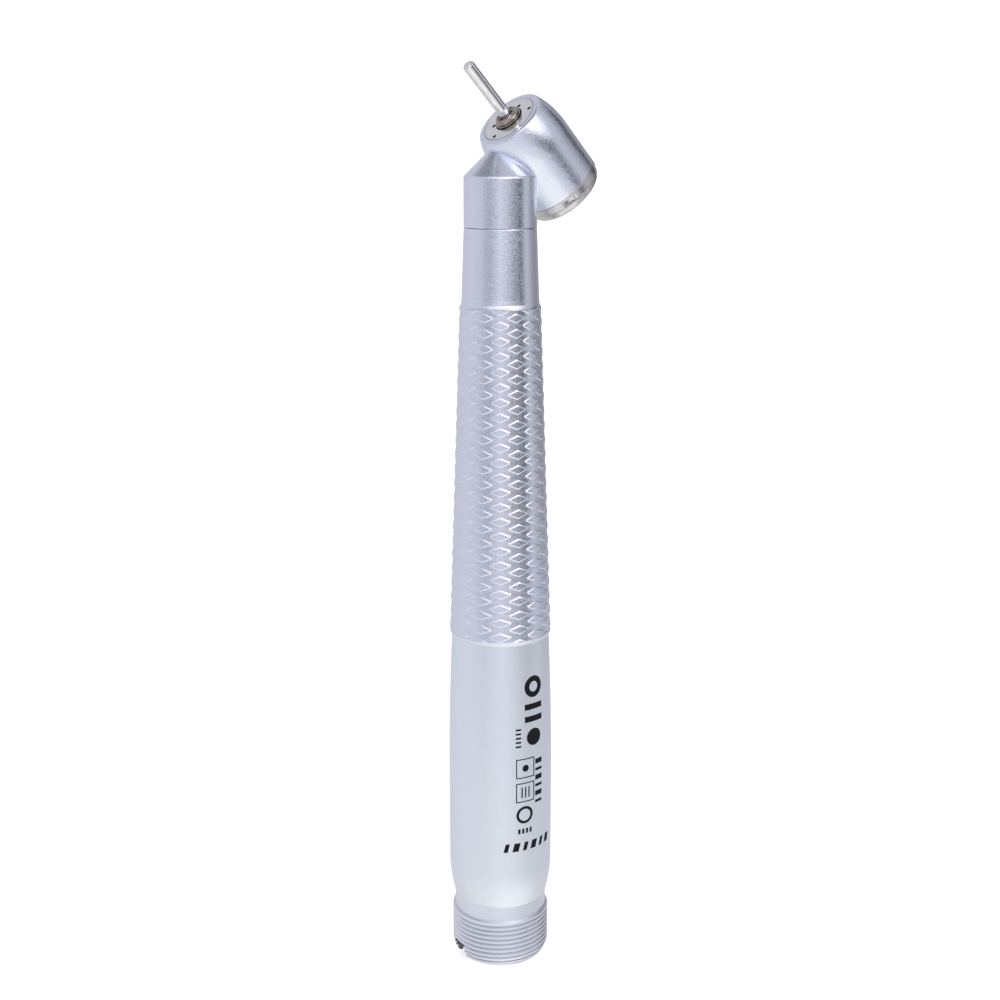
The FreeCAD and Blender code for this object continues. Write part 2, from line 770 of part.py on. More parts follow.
def rear_connector():
    """Threaded end for the hose nut, with a recess for the nipples and two exhaust notches."""
    body = new_body("connector_blank")
    spin(body, "PartDesign::Revolution", [
        ("0", "recess_depth"),
        ("skirt_inner", "recess_depth"),
        ("skirt_inner", "0"),
        ("thread_end_radius", "0"),
        ("thread_radius", "thread_chamfer"),
        ("thread_radius", "thread_top"),
        ("band_radius", "thread_top"),
        ("band_radius", "band_top"),
        ("connector_spigot_radius", "band_top"),
        ("connector_spigot_radius", "seal_groove_low"),
        ("seal_groove_radius", "seal_groove_low"),
        ("seal_groove_radius", "seal_groove_high"),
        ("connector_spigot_radius", "seal_groove_high"),
        ("connector_spigot_radius", "connector_top"),
        ("connector_bore", "connector_top"),
        ("connector_bore", "connector_floor"),
        ("0", "connector_floor"),
    ])
    groove = spin(body, "PartDesign::Groove", [
        ("thread_radius - thread_depth", "thread_first"),
        ("thread_radius + thread_depth", "thread_first - thread_groove_wide"),
        ("thread_radius + thread_depth", "thread_first + thread_groove_wide"),
    ])
    doc.recompute()
    turns = body.newObject("PartDesign::LinearPattern", "ThreadTurns")
    turns.Originals = [groove]
    turns.Direction = (own_plane(body, "Z_Axis"), [""])
    turns.Length = SIZES["thread_pitch"] * (SIZES["thread_turns"] - 1)
    turns.setExpression("Length", "Sizes.thread_pitch * (Sizes.thread_turns - 1)")
    turns.Occurrences = SIZES["thread_turns"]
    body.Tip = turns
    hole = SIZES["exhaust_hole_offset"]
    air, water = SIZES["air_nipple_offset"], -SIZES["water_nipple_offset"]
    through = "connector_floor - recess_depth"
    sideways = on_handle("chip_bore_height")
    sideways.Rotation = ACROSS
    tools = [
        rod("exhaust_hole", "exhaust_hole_radius", through, on_handle("recess_depth", y=-hole)),
        rod("exhaust_hole", "exhaust_hole_radius", through, on_handle("recess_depth", y=hole)),
        rod("air_hole", "air_nipple_bore", through, on_handle("recess_depth", x=air)),
        rod("air_socket", "air_nipple_flange", "socket_top - recess_depth",
            on_handle("recess_depth", x=air)),
        rod("water_hole", "water_nipple_bore", through, on_handle("recess_depth", x=water)),
        rod("water_socket", "water_nipple_flange", "socket_top - recess_depth",
            on_handle("recess_depth", x=water)),
        rod("chip_hole", "thin_tube_bore", "connector_floor - chip_bore_height",
            on_handle("chip_bore_height")),
        rod("chip_branch", "thin_tube_bore", "air_nipple_offset", sideways),
    ]
    for turn in NOTCH_TURNS:
        place = around(on_handle(), turn, x=SIZES["skirt_inner"] - 1, y=-SIZES["notch_width"] / 2)
        tools.append(box("exhaust_notch", "thread_radius", "notch_width", "notch_height", place))
    return cut("rear_connector", body, tools)


def nipple(label, name, x):
    """Flanged hose nipple standing in the connector's recess."""
    return turned(label, [
        (f"{name}_bore", "0"),
        (f"{name}_radius", "0"),
        (f"{name}_radius", "recess_depth - nipple_end"),
        (f"{name}_flange", "recess_depth - nipple_end"),
        (f"{name}_flange", "socket_top - nipple_end"),
        (f"{name}_bore", "socket_top - nipple_end"),
    ], on_handle("nipple_end", x=x))


def inner_tube(label, bore, radius, low, high):
    """Straight metal tube between two points given as (x, y) at the tubes' lower and upper ends."""
    start = Vector(low[0], low[1], SIZES["tube_low"])
    way = Vector(high[0], high[1], SIZES["tube_high"]) - start
    place = FreeCAD.Placement(start, FreeCAD.Rotation(UP, way))
    return tube(label, bore, radius, "tube_high - tube_low", place)


def neck_manifold(air, spray):
    """Block in the neck that joins the tubes to the head's passages."""
    block = rod("manifold_block", "manifold_radius", "manifold_length", on_handle("manifold_base"))
    bores = [rod("manifold_air", "air_tube_bore", "manifold_length",
                 on_handle("manifold_base", air[0], -air[1])),
             rod("manifold_exhaust", "exhaust_bore_radius", "manifold_length",
                 on_handle("manifold_base", *air))]
    for side in (-1, 1):
        bores.append(rod("manifold_spray", "thin_tube_bore", "manifold_length",
                         on_handle("manifold_base", spray[0], side * spray[1])))
    return cut("neck_manifold", block, bores)


head_housing()
face_plate()
head_cap()
push_button()
button_clip()
coil("button_spring", "button_coil_radius", "button_wire_radius", "button_coil_height",
     "button_coil_pitch", on_head("button_coil_depth"))
bearing("front", "front_bearing_depth", "front_bearing_depth + shield_inset")
bearing("rear", "rear_bearing_depth",
        "rear_bearing_depth + bearing_width - shield_inset - shield_thickness")
torus("front_bearing_seal", "bearing_seal_circle", "bearing_seal_section",
      on_head(f"front_bearing_depth + {SIZES['bearing_width'] / 2}"))
torus("rear_bearing_seal", "bearing_seal_circle", "bearing_seal_section",
      on_head(f"rear_bearing_depth + {SIZES['bearing_width'] / 2}"))
preload_washer()
rotor_spindle()
impeller()
collet()
coil("chuck_spring", "chuck_coil_radius", "chuck_wire_radius", "chuck_coil_height",
     "chuck_coil_pitch", on_head("chuck_coil_depth"))
chuck_pusher()
bur()
handle_shell()
rear_connector()
nipple("drive_air_nipple", "air_nipple", SIZES["air_nipple_offset"])
nipple("water_nipple", "water_nipple", -SIZES["water_nipple_offset"])
AIR_END = (SIZES["air_bore_offset"], SIZES["air_bore_spacing"])
SPRAY_END = (-SIZES["spray_bore_offset"], SIZES["spray_bore_spacing"])
inner_tube("drive_air_tube", "air_tube_bore", "air_tube_radius",
           (SIZES["air_nipple_offset"], 0), (AIR_END[0], -AIR_END[1]))
inner_tube("water_tube", "thin_tube_bore", "thin_tube_radius",
           (-SIZES["water_nipple_offset"], 0), SPRAY_END)
inner_tube("chip_air_tube", "thin_tube_bore", "thin_tube_radius",
           (0, 0), (SPRAY_END[0], -SPRAY_END[1]))
neck_manifold(AIR_END, SPRAY_END)
torus("neck_seal", "neck_seal_circle", "neck_seal_section",
      on_handle("collar_base - spigot_length + neck_seal_height"))
torus("rear_seal", "rear_seal_circle", "rear_seal_section", on_handle("rear_seal_height"))

NODES = [
    "head_housing", "face_plate", "head_cap", "push_button", "button_clip", "button_spring",
    "front_bearing_inner_ring", "front_bearing_outer_ring", "front_bearing_balls",
    "front_bearing_cage", "front_bearing_shield", "rear_bearing_inner_ring",
    "rear_bearing_outer_ring", "rear_bearing_balls", "rear_bearing_cage", "rear_bearing_shield",
    "front_bearing_seal", "rear_bearing_seal", "preload_washer", "rotor_spindle", "impeller",
    "collet", "chuck_spring", "chuck_pusher", "bur", "handle_shell", "rear_connector",
    "drive_air_nipple", "water_nipple", "drive_air_tube", "water_tube", "chip_air_tube",
    "neck_manifold", "neck_seal", "rear_seal",
]

doc.recompute()
failed = [item.Name for item in doc.Objects if {"Invalid", "Error"} & set(item.State)]
if failed:
    raise RuntimeError(f"failed objects: {failed}")

os.makedirs("parts", exist_ok=True)
for node in NODES:
    shape = doc.getObjectsByLabel(node)[0].Shape
    if shape.isNull() or not shape.isValid() or shape.Volume <= 0:
        raise RuntimeError(f"bad shape: {node}")
    shape.exportStep(f"parts/{node}.step")
    print(f"{node:28s} solids {len(shape.Solids):2d}  volume {shape.Volume:9.3f} mm3")
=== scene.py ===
"""Looks of a push-button dental turbine handpiece with a 45 degree head."""

import json
import math

import bmesh
import bpy
import numpy as np
from mathutils import Matrix, Vector


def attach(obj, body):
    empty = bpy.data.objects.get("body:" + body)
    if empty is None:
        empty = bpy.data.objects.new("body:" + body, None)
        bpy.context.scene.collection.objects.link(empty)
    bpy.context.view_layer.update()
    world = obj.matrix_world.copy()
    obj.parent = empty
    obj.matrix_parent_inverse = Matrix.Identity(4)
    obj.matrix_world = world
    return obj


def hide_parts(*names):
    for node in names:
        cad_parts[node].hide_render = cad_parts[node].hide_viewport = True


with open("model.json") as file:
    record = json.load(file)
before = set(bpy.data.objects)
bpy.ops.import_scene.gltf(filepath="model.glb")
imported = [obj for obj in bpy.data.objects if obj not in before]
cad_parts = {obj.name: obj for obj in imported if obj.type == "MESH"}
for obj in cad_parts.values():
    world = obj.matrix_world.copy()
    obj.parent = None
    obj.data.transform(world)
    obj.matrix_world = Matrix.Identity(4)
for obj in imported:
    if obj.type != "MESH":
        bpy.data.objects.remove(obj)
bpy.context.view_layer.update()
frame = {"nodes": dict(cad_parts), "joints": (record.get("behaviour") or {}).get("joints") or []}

MM = 0.001
ROUND_STEPS = 5
TURN_STEPS = 192
ALMOST_STRAIGHT = 1.565     # half the angle of a corner, in radians, past which it isn't rounded
CORNER_SHARE = 0.45         # most of a side that the rounding of one corner may take
GUARD_REACH = 0.06          # how far a guard point lies from a rounded corner, in mm
GUARD_SHARE = 0.04          # most of a side that the guard point may take besides
WELD_REACH = 2e-7           # in metres, as meshes are

# Driving sizes in mm, most of them shared with the CAD model.
FACE_TO_CROSS = 1.98
RIM_RADIUS = 4.65
HEAD_RADIUS = 5.7
HEAD_REAR_RADIUS = 5.64
HEAD_WIDEST = 5.0
HEAD_LENGTH = 11.42
HEAD_ARC = 12.43
COLLAR_RADIUS = 4.86
COLLAR_LOW = 104.85
COLLAR_HIGH = 111.4
GRIP_LOW = 49.35
GRIP_HIGH = 94.4
GRIP_LOW_RADIUS = 7.07
GRIP_HIGH_RADIUS = 5.49
THREAD_RADIUS = 6.9
THREAD_LOW = 1.6
THREAD_HIGH = 7.1
THREAD_PITCH = 0.7
THREAD_DEPTH = 0.3
THREAD_COLUMNS = 160
CHAMFER_RADIUS = 5.88
RECESS_RADIUS = 5.3
RECESS_DEPTH = 4.0
NOTCH_WIDTH = 2.6
NOTCH_HEIGHT = 2.15
NOTCH_TURN = math.radians(-10)
EXHAUST_RADIUS = 0.9
EXHAUST_SIDE = 3.35
BAND_RADIUS = 6.55
BAND_HIGH = 9.44
BARREL_LOW = 9.45
BARREL_LOW_RADIUS = 6.6
BELLY_RADIUS = 7.318
BELLY_LOW = 14.9
BELLY_HIGH = 26.95
BELLY_ARC = 459
BARREL_HIGH = 48.75
BARREL_HIGH_RADIUS = 6.8
CAP_SLOT_MIDDLES = (60, 180, 300)
CAP_SLOT_LOW = 11.68
CAP_SLOT_HIGH = 12.605
CAP_SLOT_RADIUS = 5.5
CAP_SLOT_HALF = 1.0
CAP_SLOT_DEPTH = 0.5
CAP_SLOT_STEP = 0.04
BUR_RADIUS = 0.8
BUR_HALF = 9.5

# Sizes of details that only the looks have, in mm.
MARK_STAND = 0.012
MARK_SINK = 0.02
MARK_RADIUS = 7.2
MARK_TURN = math.radians(-127.87)
BEAD_RISE = 0.09
KNURL_LIFT = 0.075
KNURL_COLUMNS = 16
KNURL_PITCH = 2.012
KNURL_FIRST = 50.09
KNURL_TURN = math.radians(7.13)
KNURL_TOP = 0.243           # half a diamond's flat top, as a share of a cell's side
KNURL_WALL = 0.09           # the width of its sloping wall, as the same share

# The head's own frame: its Z runs from the face into the head, along the rotor's axis.
spin_joint = next(j for j in frame["joints"] if j["name"] == "rotor_spin")
cross = Vector(spin_joint["pos_m"])
HEAD = Matrix.Translation(cross + Vector((1, 0, -1)).normalized() * FACE_TO_CROSS * MM) \
    @ Matrix.Rotation(math.radians(135), 4, "Y")
HANDLE = Matrix.Identity(4)


# ---------------------------------------------------------------- mesh helpers

def arc(start, end, radius, steps=24):
    """Points of an arc between two outline points, the second one higher, that bulges outwards."""
    a, b = np.array(start, float), np.array(end, float)
    half = (b - a) / 2
    rise = math.sqrt(radius ** 2 - half @ half)
    centre = a + half - rise * np.array([half[1], -half[0]]) / np.linalg.norm(half)
    first = math.atan2(*(a - centre)[::-1])
    sweep = math.atan2(*(b - centre)[::-1]) - first
    sweep = (sweep + math.pi) % (2 * math.pi) - math.pi
    turns = first + sweep * np.linspace(0, 1, steps + 1)
    return [tuple(centre + radius * np.array([math.cos(t), math.sin(t)])) for t in turns]


def eased(points):
    """An outline whose corners that have a third value, a radius, are rounded by it.

    A guard point on each side of a rounded corner keeps the smooth shading from spreading.
    """
    out = []
    for i, point in enumerate(points):
        here = np.array(point[:2], float)
        if len(point) < 3 or i in (0, len(points) - 1):
            out.append(tuple(here))
            continue
        before = np.array(points[i - 1][:2], float) - here
        after = np.array(points[i + 1][:2], float) - here
        back, on = np.linalg.norm(before), np.linalg.norm(after)
        before, after = before / back, after / on
        half = math.acos(max(-1.0, min(1.0, before @ after))) / 2
        if half > ALMOST_STRAIGHT:
            out.append(tuple(here))
            continue
        reach = min(point[2] / math.tan(half), CORNER_SHARE * back, CORNER_SHARE * on)
        extra = min(GUARD_REACH, GUARD_SHARE * min(back, on))
        out.append(tuple(here + before * (reach + extra)))
        radius = reach * math.tan(half)
        centre = here + (before + after) / np.linalg.norm(before + after) * radius / math.sin(half)
        p, q = here + before * reach - centre, here + after * reach - centre
        sweep = math.pi - 2 * half
        for s in np.linspace(0, 1, ROUND_STEPS + 1):
            mix = (math.sin((1 - s) * sweep) * p + math.sin(s * sweep) * q) / math.sin(sweep)
            out.append(tuple(centre + mix))
        out.append(tuple(here + after * (reach + extra)))
    return out


def weld(mesh, reach=WELD_REACH):
    """Joins points that coincide, drops empty faces and turns all normals outwards."""
    work = bmesh.new()
    work.from_mesh(mesh)
    bmesh.ops.remove_doubles(work, verts=work.verts, dist=reach)
    bmesh.ops.dissolve_degenerate(work, edges=work.edges, dist=WELD_REACH)
    bmesh.ops.recalc_face_normals(work, faces=work.faces)
    work.to_mesh(mesh)
    work.free()


def mesh_object(name, verts, faces, place=HANDLE, sharp=40):
    """A welded mesh from points in mm, shaded smooth below an angle in degrees."""
    mesh = bpy.data.meshes.new(name)
    mesh.from_pydata([tuple(np.array(v) * MM) for v in verts], [], faces)
    weld(mesh)
    mesh.transform(place)
    mesh.shade_smooth()
    mesh.set_sharp_from_angle(angle=math.radians(sharp))
    obj = bpy.data.objects.new(name, mesh)
    bpy.context.scene.collection.objects.link(obj)
    return obj


def grid_faces(rows, columns, around=True, offset=0):
    """Quads of a grid of points; around joins the last column to the first."""
    faces = []
    for i in range(rows - 1):
        for j in range(columns if around else columns - 1):
            k = (j + 1) % columns
            a, b = offset + i * columns, offset + (i + 1) * columns
            faces.append((a + j, a + k, b + k, b + j))
    return faces


def lathe(name, outline, place=HANDLE, steps=TURN_STEPS, turns=None, shape=None, sharp=40):
    """A turned piece. shape(radius, height, turn) may move a point, to make slots."""
    turns = np.linspace(0, 2 * math.pi, steps, endpoint=False) if turns is None else turns
    verts = []
    for radius, height in outline:
        for t in turns:
            r, h = shape(radius, height, t) if shape else (radius, height)
            verts.append((r * math.cos(t), r * math.sin(t), h))
    return mesh_object(name, verts, grid_faces(len(outline), len(turns)), place, sharp)


def cylinder(radius, low, high, y):
    """A plain cutter beside the handle's axis."""
    tool = lathe("cutter", [(0, low), (radius, low), (radius, high), (0, high)], steps=48)
    tool.data.transform(Matrix.Translation(Vector((0, y, 0)) * MM))
    return tool


def block(size, centre, turn=0.0):
    """A plain cutter, turned about the handle's axis."""
    corners = [(x * size[0] / 2, y * size[1] / 2, z * size[2] / 2)
               for z in (-1, 1) for y in (-1, 1) for x in (-1, 1)]
    faces = [(0, 1, 3, 2), (4, 5, 7, 6), (0, 1, 5, 4), (2, 3, 7, 6), (0, 2, 6, 4), (1, 3, 7, 5)]
    tool = mesh_object("cutter", corners, faces)
    tool.data.transform(Matrix.Rotation(turn, 4, "Z") @ Matrix.Translation(Vector(centre) * MM))
    return tool


def carve(obj, *tools, sharp=40):
    """Cuts the tools out of a piece."""
    for tool in tools:
        cut = obj.modifiers.new("cut", "BOOLEAN")
        cut.operation, cut.solver, cut.object = "DIFFERENCE", "EXACT", tool
    done = obj.evaluated_get(bpy.context.evaluated_depsgraph_get())
    mesh = bpy.data.meshes.new_from_object(done)
    obj.modifiers.clear()
    obj.data = mesh
    mesh.shade_smooth()
    mesh.set_sharp_from_angle(angle=math.radians(sharp))
    for tool in tools:
        bpy.data.objects.remove(tool)
    return obj


def join(name, *objs):
    """One piece from several meshes."""
    whole = bmesh.new()
    for obj in objs:
        whole.from_mesh(obj.data)
    mesh = bpy.data.meshes.new(name)
    whole.to_mesh(mesh)
    whole.free()
    for obj in objs:
        bpy.data.objects.remove(obj)
    joined = bpy.data.objects.new(name, mesh)
    bpy.context.scene.collection.objects.link(joined)
    return joined


# ---------------------------------------------------------------- materials

def add_node(tree, kind, inputs=None, **settings):
    """A shader node. Its inputs, by name or number, are values or the outputs of other nodes."""
    made = tree.nodes.new(kind)
    for key, value in settings.items():
        setattr(made, key, value)
    for key, value in (inputs or {}).items():
        if isinstance(value, bpy.types.NodeSocket):
            tree.links.new(value, made.inputs[key])
        else:
            made.inputs[key].default_value = value
    return made


class Look:
    """A node material built step by step around one shader."""

    def __init__(self, name, **sockets):
        self.material = bpy.data.materials.new(name)
        self.material.use_nodes = True
        self.tree = self.material.node_tree
        self.shader = self.tree.nodes["Principled BSDF"]
        for key, value in sockets.items():
            self.shader.inputs[key.replace("_", " ")].default_value = value
        self.place = self.node("ShaderNodeTexCoord").outputs["Object"]

    def node(self, kind, inputs=None, **settings):
        return add_node(self.tree, kind, inputs, **settings)

    def noise(self, size_mm, detail, stretch=(1, 1, 1)):
        """Noise whose features are about size_mm across."""
        scaled = self.node("ShaderNodeMapping", {"Vector": self.place, "Scale": stretch}).outputs[0]
        inputs = {"Vector": scaled, "Scale": 1 / (size_mm * MM), "Detail": detail}
        return self.node("ShaderNodeTexNoise", inputs).outputs["Fac"]

    def span(self, value, low, high, start=0.3, stop=0.7):
        """Maps a value that lies from start to stop onto the range from low to high."""
        inputs = {"Value": value, "From Min": start, "From Max": stop, "To Min": low, "To Max": high}
        return self.node("ShaderNodeMapRange", inputs).outputs["Result"]

    def blend(self, factor, first, second):
        """Mixes two colours."""
        mix = self.node("ShaderNodeMix", data_type="RGBA")
        for slot, value in (("Factor_Float", factor), ("A_Color", first), ("B_Color", second)):
            socket = next(s for s in mix.inputs if s.identifier == slot)
            if isinstance(value, bpy.types.NodeSocket):
                self.tree.links.new(value, socket)
            else:
                socket.default_value = value
        return next(s for s in mix.outputs if s.identifier == "Result_Color")

    def bump(self, height, depth_mm, below=None):
        """Relief of a depth, on top of another relief."""
        inputs = {"Height": height, "Distance": depth_mm * MM, "Strength": 1.0}
        if below is not None:
            inputs["Normal"] = below
        return self.node("ShaderNodeBump", inputs).outputs["Normal"]

    def wire(self, **sockets):
        """Links outputs to the shader and gives the finished material."""
        for key, value in sockets.items():
            self.tree.links.new(value, self.shader.inputs[key.replace("_", " ")])
        return self.material


def rgb(r, g, b):
    """A colour with full cover."""
    return (r, g, b, 1)


def blasted(name, light, dark, rough, grain_mm, depth_mm, mottle=0.35, dents_mm=0.0):
    """Bead-blasted plating: fine grain in colour, roughness and relief, over shallow dents."""
    look = Look(name, Metallic=1.0)
    grain = look.noise(grain_mm, 3)
    cloud = look.noise(2.6, 2)
    tone = look.blend(look.span(grain, 0, 1, 0.35, 0.65), rgb(*dark), rgb(*light))
    worn = look.blend(look.span(cloud, 0, mottle), tone, rgb(*light))
    relief = look.bump(look.noise(grain_mm * 2.2, 2), depth_mm * 0.8)    # a coarser grain under the fine one
    if dents_mm:
        relief = look.bump(look.noise(0.48, 1), dents_mm, relief)
    relief = look.bump(grain, depth_mm, relief)
    return look.wire(Base_Color=worn, Normal=relief,
                     Roughness=look.span(grain, rough - 0.06, rough + 0.07, 0.3, 0.7))


def turned_steel(name, light, dark, rough, ring_mm, depth_mm, in_head=True):
    """Lathe-finished metal: faint stains and fine rings round the head's axis or the handle's."""
    look = Look(name, Metallic=1.0)
    if in_head:
        to_head = {"Vector": look.place, "Rotation": (0, math.radians(-135), 0)}
        look.place = look.node("ShaderNodeMapping", to_head, vector_type="TEXTURE").outputs[0]
    rings = look.noise(1.0, 2, stretch=(0.4, 0.4, 1 / ring_mm))
    stain = look.noise(0.8, 3)
    tone = look.blend(look.span(stain, 0, 1, 0.35, 0.7), rgb(*light), rgb(*dark))
    relief = look.bump(rings, depth_mm)
    return look.wire(Base_Color=tone, Normal=relief,
                     Roughness=look.span(rings, rough - 0.05, rough + 0.08, 0.3, 0.7))


def dull(name, light, dark, rough, size_mm, depth_mm, gloss=0.5):
    """Rubber, moulded plastic or ink."""
    look = Look(name, Specular_IOR_Level=gloss)
    grain = look.noise(size_mm, 3)
    tone = look.blend(look.span(grain, 0, 1), rgb(*dark), rgb(*light))
    return look.wire(Base_Color=tone, Normal=look.bump(grain, depth_mm),
                     Roughness=look.span(grain, rough - 0.08, rough + 0.08))


silver = blasted("satin_silver", (0.80, 0.835, 0.92), (0.73, 0.765, 0.85), 0.22, 0.26, 0.016, dents_mm=0.010)
barrel_silver = blasted("barrel_silver", (0.86, 0.905, 0.935), (0.82, 0.865, 0.895), 0.40, 0.16, 0.004)
thread_silver = blasted("thread_silver", (0.84, 0.855, 0.90), (0.79, 0.805, 0.855), 0.34, 0.16, 0.004)
# A darker copy of the thread's silver for the thread's grooves: painted shade in the grooves.
groove_silver = blasted("groove_silver", (0.60, 0.62, 0.67), (0.52, 0.54, 0.59), 0.34, 0.16, 0.004)
# Near-black copy of the blasted silver for the recess and the notches' inner walls: painted shade, where
# little light reaches.
recess_steel = blasted("recess_steel", (0.20, 0.20, 0.22), (0.07, 0.07, 0.08), 0.45, 0.25, 0.01)
cap_steel = turned_steel("cap_steel", (0.68, 0.67, 0.66), (0.56, 0.55, 0.535), 0.15, 0.10, 0.0015)
button_steel = turned_steel("button_steel", (0.72, 0.71, 0.69), (0.62, 0.605, 0.58), 0.17, 0.12, 0.0015)
plate_steel = turned_steel("plate_steel", (0.86, 0.85, 0.86), (0.80, 0.79, 0.80), 0.14, 0.08, 0.0006)
nose_steel = turned_steel("nose_steel", (0.48, 0.43, 0.38), (0.25, 0.215, 0.185), 0.11, 0.09, 0.0015)
bur_steel = turned_steel("bur_steel", (0.84, 0.83, 0.84), (0.76, 0.74, 0.73), 0.055, 0.10, 0.0002)
# Darker than the nose's steel: partly the jaws' own brownish steel, partly painted shade inside the funnel
# mouth.
jaw_steel = turned_steel("jaw_steel", (0.34, 0.305, 0.27), (0.20, 0.18, 0.155), 0.20, 0.09, 0.001)
spring_steel = turned_steel("spring_wire", (0.62, 0.60, 0.57), (0.48, 0.46, 0.44),
                            0.28, 0.08, 0.001, in_head=False)
wheel_alloy = turned_steel("wheel_alloy", (0.78, 0.74, 0.62), (0.66, 0.60, 0.47), 0.30, 0.10, 0.002)
tube_steel = turned_steel("tube_steel", (0.66, 0.66, 0.66), (0.55, 0.55, 0.55),
                          0.25, 0.2, 0.001, in_head=False)
tube_brass = turned_steel("tube_brass", (0.80, 0.62, 0.32), (0.66, 0.48, 0.22),
                          0.27, 0.2, 0.001, in_head=False)
rubber = dull("black_rubber", (0.035, 0.035, 0.036), (0.018, 0.018, 0.019), 0.6, 0.12, 0.004)
cage_plastic = dull("cage_plastic", (0.46, 0.30, 0.13), (0.36, 0.22, 0.09), 0.45, 0.2, 0.004)
ink = dull("black_ink", (0.012, 0.012, 0.014), (0.006, 0.006, 0.007), 0.6, 0.1, 0.002, 0.15)

SLOT_LOOKS = {
    "satin_silver": silver, "stainless": cap_steel, "plate_steel": plate_steel, "spindle_steel": nose_steel,
    "chrome_steel": bur_steel, "spring_steel": spring_steel, "impeller_alloy": wheel_alloy,
    "cage_plastic": cage_plastic, "black_rubber": rubber, "thread_steel": thread_silver,
    "tube_steel": tube_steel, "tube_brass": tube_brass,
}


def finish_piece(obj, material, body, slot, *nodes):
    """Material, body and the CAD nodes that a piece stands for; the slot argument is not used."""
    obj.data.materials.clear()
    obj.data.materials.append(material)
    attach(obj, body)
    if nodes:
        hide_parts(*nodes)
    return obj


# ---------------------------------------------------------------- head

def head_side(depth):
    """Radius of the head at a depth from its face."""
    depth = np.asarray(depth, float)
    short = HEAD_WIDEST - np.minimum(depth, HEAD_WIDEST)
    front = HEAD_RADIUS - HEAD_ARC + np.sqrt(HEAD_ARC ** 2 - short ** 2)
    taper = (HEAD_RADIUS - HEAD_REAR_RADIUS) / (HEAD_LENGTH - HEAD_WIDEST)
    rear = HEAD_RADIUS - (depth - HEAD_WIDEST) * taper
    return np.where(depth > HEAD_WIDEST, rear, front)


def head_barrel():
    """Head shell with its plate recess, soft rim and the thin lip where the cap goes in."""
    side = arc((RIM_RADIUS, 0), (HEAD_RADIUS, HEAD_WIDEST), HEAD_ARC, steps=30)
    rim_end = 6     # the first point of the side past the rounded rim
    bore, plate_radius, plate_floor, cap_bore = 2.3, 3.79, 1.0, 5.1
    outline = eased([(bore, 2.0), (bore, plate_floor, 0.03), (plate_radius, plate_floor, 0.02),
                     (plate_radius, 0.0, 0.04), (RIM_RADIUS, 0.0, 0.42), side[rim_end]])[:-1]
    outline += side[rim_end:]
    outline += eased([side[-1], (HEAD_REAR_RADIUS, HEAD_LENGTH, 0.07), (cap_bore, HEAD_LENGTH, 0.03),
                      (cap_bore, 8.0)])[1:]
    return lathe("barrel", outline, HEAD, steps=256)


def neck_outline(cone=4.2, spacing=0.18):
    """Collar and 45 degree cone, as close points of radius and height, from the joint line upwards."""
    outline = eased([(4.3, COLLAR_LOW), (COLLAR_RADIUS, COLLAR_LOW, 0.03), (COLLAR_RADIUS, COLLAR_HIGH, 0.5),
                     (COLLAR_RADIUS - cone, COLLAR_HIGH + cone)])
    dense = []
    for a, b in zip(outline, outline[1:]):
        count = max(1, int(math.dist(a, b) / spacing))
        dense += [tuple(np.array(a) + (np.array(b) - a) * k / count) for k in range(count)]
    return np.array(dense + [outline[-1]])


def outside_head(points):
    """How far points in mm lie outside the head's side; negative inside it."""
    to_head = np.array(HEAD.inverted())
    local = points @ to_head[:3, :3].T + to_head[:3, 3] / MM
    return np.hypot(local[..., 0], local[..., 1]) - head_side(local[..., 2])


def outside_neck(points):
    """How far points in mm lie outside the collar and cone."""
    outline = neck_outline()[2:]
    radius = np.interp(points[..., 2], outline[:, 1], outline[:, 0])
    return np.hypot(points[..., 0], points[..., 1]) - radius


def normals_of(outside, points, step=0.01):
    """Unit normals of a surface, from how the distance to it changes."""
    grad = np.stack([outside(points + d) - outside(points - d) for d in np.eye(3) * step], -1)
    return grad / np.linalg.norm(grad, axis=-1)[..., None]


def across(line, normal, towards):
    """Directions square to a line in the surface with this normal, on the side that towards points to."""
    square = np.cross(line, normal)
    return square * np.sign((square * towards).sum(1))[:, None]


